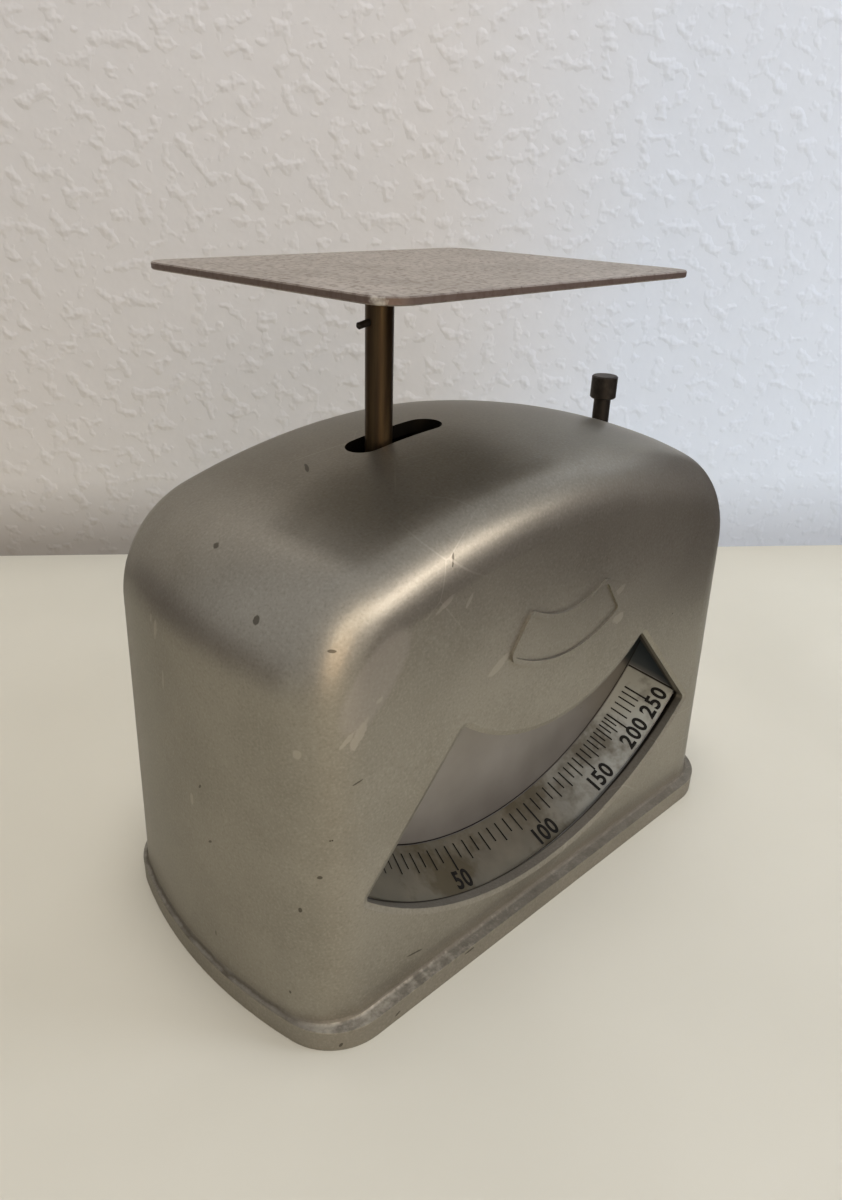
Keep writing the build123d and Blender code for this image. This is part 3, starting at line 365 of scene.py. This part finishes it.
# dark on the faces that look inward behind the front wall's outer face, and down the slot in the top:
# painted shade in these recesses
normal = add_node(silver_lacquer, "NewGeometry", {}, "Normal")
middle = add_node(silver_lacquer, "VectorMath", {0: place, 1: (0.0, 0.0, 0.04)}, operation="SUBTRACT")
outward = {0: middle, 1: normal}
outward = add_node(silver_lacquer, "VectorMath", outward, "Value", operation="DOT_PRODUCT")
inside = add_node(silver_lacquer, "Math", {0: outward, 1: 0.0}, operation="LESS_THAN")
lip = add_node(silver_lacquer, "MapRange", {
    "Value": y, "From Min": -0.0396, "From Max": -0.0392, "To Max": inside,
})
lip = add_node(silver_lacquer, "MapRange", {
    "Value": z, "From Min": 0.008, "From Max": 0.0085, "To Max": lip,
})
facing_up = add_node(silver_lacquer, "SeparateXYZ", {"Vector": normal}, "Z")
slot = add_node(silver_lacquer, "MapRange", {"Value": facing_up, "From Min": 0.5, "From Max": 0.35})
slot = add_node(silver_lacquer, "MapRange", {
    "Value": z, "From Min": 0.105, "From Max": 0.106, "To Max": slot,
})
off_centre = add_node(silver_lacquer, "Math", {0: y}, operation="ABSOLUTE")
slot = add_node(silver_lacquer, "MapRange", {
    "Value": off_centre, "From Min": 0.03, "From Max": 0.028, "To Max": slot,
})
recess_shade = add_node(silver_lacquer, "Math", {0: lip, 1: slot}, operation="MAXIMUM")
colour = coat(silver_lacquer, colour, "#2b2720", recess_shade)
# satin: the sheen follows the clouds; the lacquer is duller on the bead and where old glue
# has left a haze at the upper left of the front
sheen = add_node(silver_lacquer, "MapRange", {"Value": cloud, "To Min": 0.28, "To Max": 0.42})
sheen = add_node(silver_lacquer, "Math", {0: haze, 1: 0.08, 2: sheen}, operation="MULTIPLY_ADD")
pooled = add_node(silver_lacquer, "MapRange", {
    "Value": z, "From Min": 0.009, "From Max": 0.0065, "To Max": 0.3,
})
sheen = add_node(silver_lacquer, "Math", {0: sheen, 1: pooled}, operation="ADD")
shade(silver_lacquer, {
    "Base Color": colour,
    "Metallic": 0.7,
    "Specular Tint": (0.6, 0.6, 0.6, 1.0),
    "Roughness": sheen,
    "Normal": add_node(silver_lacquer, "Bump", {"Strength": 0.12, "Distance": 0.0002, "Height": flake}),
})
give(silver_lacquer, "housing")

# ------------------------------------------------------------------ hidden steel and brass
# Bright-drawn steel and turned brass inside, and steel screws blacked in oil.
drawn_steel, place = start_material("bright_drawn_steel")
grain = add_node(drawn_steel, "Mapping", {"Vector": place, "Scale": (1.0, 30.0, 1.0)})
grain = add_node(drawn_steel, "TexNoise", {"Vector": grain, "Scale": 1000 / 16, "Detail": 3.0})
shade(drawn_steel, {
    "Base Color": coat(drawn_steel, "#92928f", "#a2a2a0", grain, 0.35, 0.65),
    "Metallic": 1.0,
    "Roughness": add_node(drawn_steel, "MapRange", {"Value": grain, "To Min": 0.25, "To Max": 0.45}),
})
give(drawn_steel, "base_plate", "mechanism_frame", "guide_post", "beam_shaft", "stem_upper_pin",
     "stem_lower_pin")

# blacked steel: brown-black, with a dull grey where handling has thinned it, in 3 mm clouds
blacked_steel, place = start_material("oil_blacked_steel")
thin = add_node(blacked_steel, "TexNoise", {"Vector": place, "Scale": 1000 / 3, "Detail": 4.0})
shade(blacked_steel, {
    "Base Color": coat(blacked_steel, "#2e2924", "#4a443d", thin, 0.45, 0.75),
    "Metallic": 0.6,
    "Roughness": add_node(blacked_steel, "MapRange", {"Value": thin, "To Min": 0.4, "To Max": 0.6}),
})
give(blacked_steel, "base_plate_screws", "frame_screws", "frame_nuts", "dial_screws", "counterweight_bolt",
     "counterweight_nut", "zero_screw", "pointer", "stop_pin")

turned_brass, place = start_material("turned_brass")
tarnish = add_node(turned_brass, "TexNoise", {"Vector": place, "Scale": 1000 / 11, "Detail": 3.0})
shade(turned_brass, {
    "Base Color": coat(turned_brass, "#a8854a", "#b8955a", tarnish, 0.35, 0.65),
    "Metallic": 1.0,
    "Roughness": add_node(turned_brass, "MapRange", {"Value": tarnish, "To Min": 0.22, "To Max": 0.38}),
})
give(turned_brass, "beam_bearings", "guide_collars", "dial_spacers", "beam", "counterweight_front",
     "counterweight_rear", "pointer_hub", "guide_link")

# ------------------------------------------------------------------ stem
# Drawn brass rod, browned by handling and age, with the draw lines along it. Its spigot
# is peened over in the pan and filed flush, so its end has the pan's grey.
browned_brass, place = start_material("browned_brass_rod")
drawn = add_node(browned_brass, "Mapping", {"Vector": place, "Scale": (1.0, 1.0, 0.05)})
streak = add_node(browned_brass, "TexNoise", {"Vector": drawn, "Scale": 1000 / 1.2, "Detail": 3.0})
height = add_node(browned_brass, "SeparateXYZ", {"Vector": place}, "Z")
colour = coat(browned_brass, "#3f3223", "#57472f", streak, 0.35, 0.7)
colour = coat(browned_brass, colour, "#9a9287", height, 0.1564, 0.1566)
shade(browned_brass, {
    "Base Color": colour,
    "Metallic": 0.85,
    "Roughness": add_node(browned_brass, "MapRange", {"Value": streak, "To Min": 0.32, "To Max": 0.46}),
})
give(browned_brass, "stem")

# ------------------------------------------------------------------ pan
# Plated plate with round corners: a dull grey face speckled with tiny pits, painted darker
# and browner on its cut edge, whose faces turn sideways, as shade, and rubbed bright at the front corner.
dull_plate, place = start_material("speckled_dull_plate")
cloud = add_node(dull_plate, "TexNoise", {"Vector": place, "Scale": 1000 / 14, "Detail": 4.0})
speck = add_node(dull_plate, "TexNoise", {"Vector": place, "Scale": 1000 / 1.1, "Detail": 2.0})
torn = add_node(dull_plate, "TexNoise", {"Vector": place, "Scale": 1000 / 2.0, "Detail": 3.0})
colour = coat(dull_plate, "#9c9388", "#aca398", cloud, 0.35, 0.65)
colour = coat(dull_plate, colour, "#7b7166", speck, 0.52, 0.64, 0.85)
colour = coat(dull_plate, colour, "#bdb5aa", speck, 0.42, 0.3, 0.5)
colour = coat(dull_plate, colour, "#5f554a", pits(dull_plate, place, 1.7, 0.3, 0.5), amount=0.8)
colour = coat(dull_plate, colour, "#4c4339", pits(dull_plate, place, 9.0, 0.4, 0.5))
normal = add_node(dull_plate, "NewGeometry", {}, "Normal")
upward = add_node(dull_plate, "SeparateXYZ", {"Vector": normal}, "Z")
flat = add_node(dull_plate, "Math", {0: upward}, operation="ABSOLUTE")
# painted shade: darker and browner where the faces turn sideways, along the cut edge
colour = coat(dull_plate, colour, "#6d5b53", flat, 0.9, 0.5, 0.85)
WORN_CORNER = (((-59.0, -37.5, 156.3), (3.4, 3.4, 2.0), (0, 0, 45)),)
colour = coat(dull_plate, colour, "#ded8cd", scuffs(dull_plate, place, torn, WORN_CORNER), amount=0.8)
shade(dull_plate, {
    "Base Color": colour,
    "Metallic": 0.6,
    "Roughness": add_node(dull_plate, "MapRange", {"Value": speck, "To Min": 0.42, "To Max": 0.58}),
})
give(dull_plate, "pan")

# ------------------------------------------------------------------ dial
# Pressed sheet in silver lacquer, with a fine dark line painted where the rim turns up, as
# shade in the crease, and painted darker and bluer past the strip's right end, as reflection
# and shade. A thin lacquered metal strip lies along the rim and carries the printed scale.
PIVOT = Vector((-1.5, 0.4, 92.7)) * MM
CONE = math.radians(26.5)
INNER_RADIUS = 76.5
INNER_Y = -24.4
STRIP_END = math.radians(48.8)


def around_pivot(material, place):
    """Distance from the beam's axis, and the angle from straight down in radians."""
    centred = add_node(material, "VectorMath", {0: place, 1: PIVOT}, operation="SUBTRACT")
    across = add_node(material, "SeparateXYZ", {"Vector": centred}, "X")
    upward = add_node(material, "SeparateXYZ", {"Vector": centred}, "Z")
    down = add_node(material, "Math", {0: upward, 1: -1.0}, operation="MULTIPLY")
    flat = add_node(material, "CombineXYZ", {0: across, 2: down})
    radius = add_node(material, "VectorMath", {0: flat}, "Value", operation="LENGTH")
    return radius, add_node(material, "Math", {0: across, 1: down}, operation="ARCTAN2")


def fine_line(material, value, centre, half_width):
    """1 on a thin line where the value is at its centre."""
    offset = add_node(material, "Math", {0: value, 1: centre}, operation="SUBTRACT")
    offset = add_node(material, "Math", {0: offset}, operation="ABSOLUTE")
    fade = {"Value": offset, "From Min": half_width, "From Max": 0.5 * half_width}
    return add_node(material, "MapRange", fade)


dial_lacquer, place = start_material("dial_silver_lacquer")
radius, angle = around_pivot(dial_lacquer, place)
cloud = add_node(dial_lacquer, "TexNoise", {"Vector": place, "Scale": 1000 / 17, "Detail": 4.0})
colour = coat(dial_lacquer, "#96918a", "#a29d97", cloud, 0.35, 0.65)
# painted reflection and shade: darker and bluer past the strip's right end
colour = coat(dial_lacquer, colour, "#5d6466", angle, STRIP_END - 0.02, STRIP_END + 0.02)
colour = coat(dial_lacquer, colour, "#4a4338", pits(dial_lacquer, place, 8.0, 0.3, 0.25))
# painted shade: a fine dark line in the crease where the rim turns up
colour = coat(dial_lacquer, colour, "#38322a", fine_line(dial_lacquer, radius, 0.0763, 0.00026))
shade(dial_lacquer, {
    "Base Color": colour,
    "Metallic": 0.6,
    "Roughness": add_node(dial_lacquer, "MapRange", {"Value": cloud, "To Min": 0.36, "To Max": 0.46}),
})
give(dial_lacquer, "dial_plate")

# the strip is painted paler and bluer towards its right end, as daylight falling there; it has
# yellowed in patches some 20 mm wide, and a dark line closes its right end
scale_lacquer, place = start_material("yellowed_scale_strip")
radius, angle = around_pivot(scale_lacquer, place)
cloud = add_node(scale_lacquer, "TexNoise", {"Vector": place, "Scale": 1000 / 8, "Detail": 4.0})
stain = add_node(scale_lacquer, "TexNoise", {
    "Vector": place, "Scale": 1000 / 21, "Detail": 5.0, "Roughness": 0.65,
})
colour = coat(scale_lacquer, "#726b5a", "#7e7663", cloud, 0.35, 0.65)
# painted light: paler and bluer towards the right end
colour = coat(scale_lacquer, colour, "#c8cbc3", angle, 0.1, 0.7)
colour = coat(scale_lacquer, colour, "#554a31", stain, 0.5, 0.62, 0.75)
closing_line = fine_line(scale_lacquer, angle, STRIP_END - 0.005, 0.005)
colour = coat(scale_lacquer, colour, "#26221c", closing_line)
shade(scale_lacquer, {
    "Base Color": colour,
    "Metallic": 0.15,
    "Roughness": add_node(scale_lacquer, "MapRange", {"Value": cloud, "To Min": 0.5, "To Max": 0.62}),
})
give(scale_lacquer, "dial_scale")

# black printing ink, thinner in specks some 1 mm wide
printing_ink, place = start_material("black_printing_ink")
thin = add_node(printing_ink, "TexNoise", {"Vector": place, "Scale": 1000 / 1.1, "Detail": 3.0})
ink = coat(printing_ink, "#0f0e0c", "#25221d", thin, 0.45, 0.75)
shade(printing_ink, {"Base Color": ink, "Roughness": 0.7, "Specular IOR Level": 0.3})


# holds the print a tenth of a millimetre clear of the strip
PRINT_LIFT = 0.4


def rim_place(angle, along):
    """Frame on the rim's face: angle from straight down, distance forward along the slope."""
    radius = INNER_RADIUS + along * math.sin(CONE) - PRINT_LIFT * math.cos(CONE)
    y = INNER_Y - along * math.cos(CONE) - PRINT_LIFT * math.sin(CONE)
    turn = Matrix.Rotation(-math.radians(angle), 4, "Y")
    tilt = Matrix.Rotation(CONE, 4, "X")
    spot = Matrix.Translation(Vector((0, y, -radius)) * MM)
    return Matrix.Translation(PIVOT) @ turn @ spot @ tilt


def scale_angle(grams):
    """Where a load stands on the scale, by the law of a pendulum balance."""
    return math.degrees(math.atan((grams - 51.9) / 114.2)) - 16.3


# one tick with rounded corners, copied for each mark: longer at the tens, and longest and
# thickest at the fifties (in mm)
TICK_WIDTH, TICK_LENGTH = 0.44, 4.35
TENS_LENGTH, FIFTIES_LENGTH, FIFTIES_STRETCH = 5.7, 7.2, 1.2
TICKS_FROM = 2.49
bpy.ops.object.select_all(action="DESELECT")
bpy.ops.mesh.primitive_plane_add(size=1.0)
tick = bpy.context.object
bpy.ops.object.mode_set(mode="EDIT")
bpy.ops.transform.resize(value=(TICK_WIDTH * MM, TICK_LENGTH * MM, 1.0))
bpy.ops.mesh.bevel(offset=0.1 * MM, segments=2, affect="VERTICES")
bpy.ops.object.mode_set(mode="OBJECT")
marks = []
for grams in list(range(0, 200, 5)) + list(range(200, 251, 10)):
    fifty, ten = grams % 50 == 0, grams % 10 == 0
    length = FIFTIES_LENGTH if fifty else TENS_LENGTH if ten else TICK_LENGTH
    stretch = FIFTIES_STRETCH if fifty else 1.0
    mark = tick.copy()
    mark.data = tick.data.copy()
    bpy.context.scene.collection.objects.link(mark)
    mark.data.transform(Matrix.Diagonal((stretch, length / TICK_LENGTH, 1, 1)))
    mark.data.transform(rim_place(scale_angle(grams), TICKS_FROM + length / 2))
    marks.append(mark)
bpy.data.objects.remove(tick)
# narrow upright figures (in mm) under the tall ticks, each number moved round by a part of
# a degree to where it stands on the real strip
FIGURE_SIZE, FIGURE_NARROWING, FIGURE_WEIGHT = 6.6, 0.86, 0.2
FIGURE_PITCH, ONE_PITCH = 3.25, 2.4
FIGURES_AT, FIGURES_RADIUS = 14.3, 81.5
for grams, nudge in ((50, -0.3), (100, -0.5), (150, -0.5), (200, 0.0), (250, 0.2)):
    pitches = [ONE_PITCH if digit == "1" else FIGURE_PITCH for digit in str(grams)]
    reached = -sum(pitches) / 2
    for digit, pitch in zip(str(grams), pitches):
        bpy.ops.object.text_add()
        outline = bpy.context.object
        outline.data.body = digit
        outline.data.size = FIGURE_SIZE * MM
        outline.data.offset = FIGURE_WEIGHT * MM
        outline.data.align_x = "CENTER"
        bpy.ops.object.convert(target="MESH")
        mark = bpy.context.object
        mark.data.transform(Matrix.Diagonal((FIGURE_NARROWING, 1, 1, 1)))
        turn = math.degrees((reached + pitch / 2) / FIGURES_RADIUS)
        mark.data.transform(rim_place(scale_angle(grams) + nudge + turn, FIGURES_AT))
        reached += pitch
        marks.append(mark)
bpy.ops.object.select_all(action="DESELECT")
for mark in marks:
    mark.select_set(True)
bpy.context.view_layer.objects.active = marks[0]
bpy.ops.object.join()
printing = bpy.context.object
printing.matrix_world = Matrix.Identity(4)
printing.name = "scale_printing"
printing.data.name = "scale_printing"
printing.data.materials.clear()
printing.data.materials.append(printing_ink)
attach(printing, "housing_body")
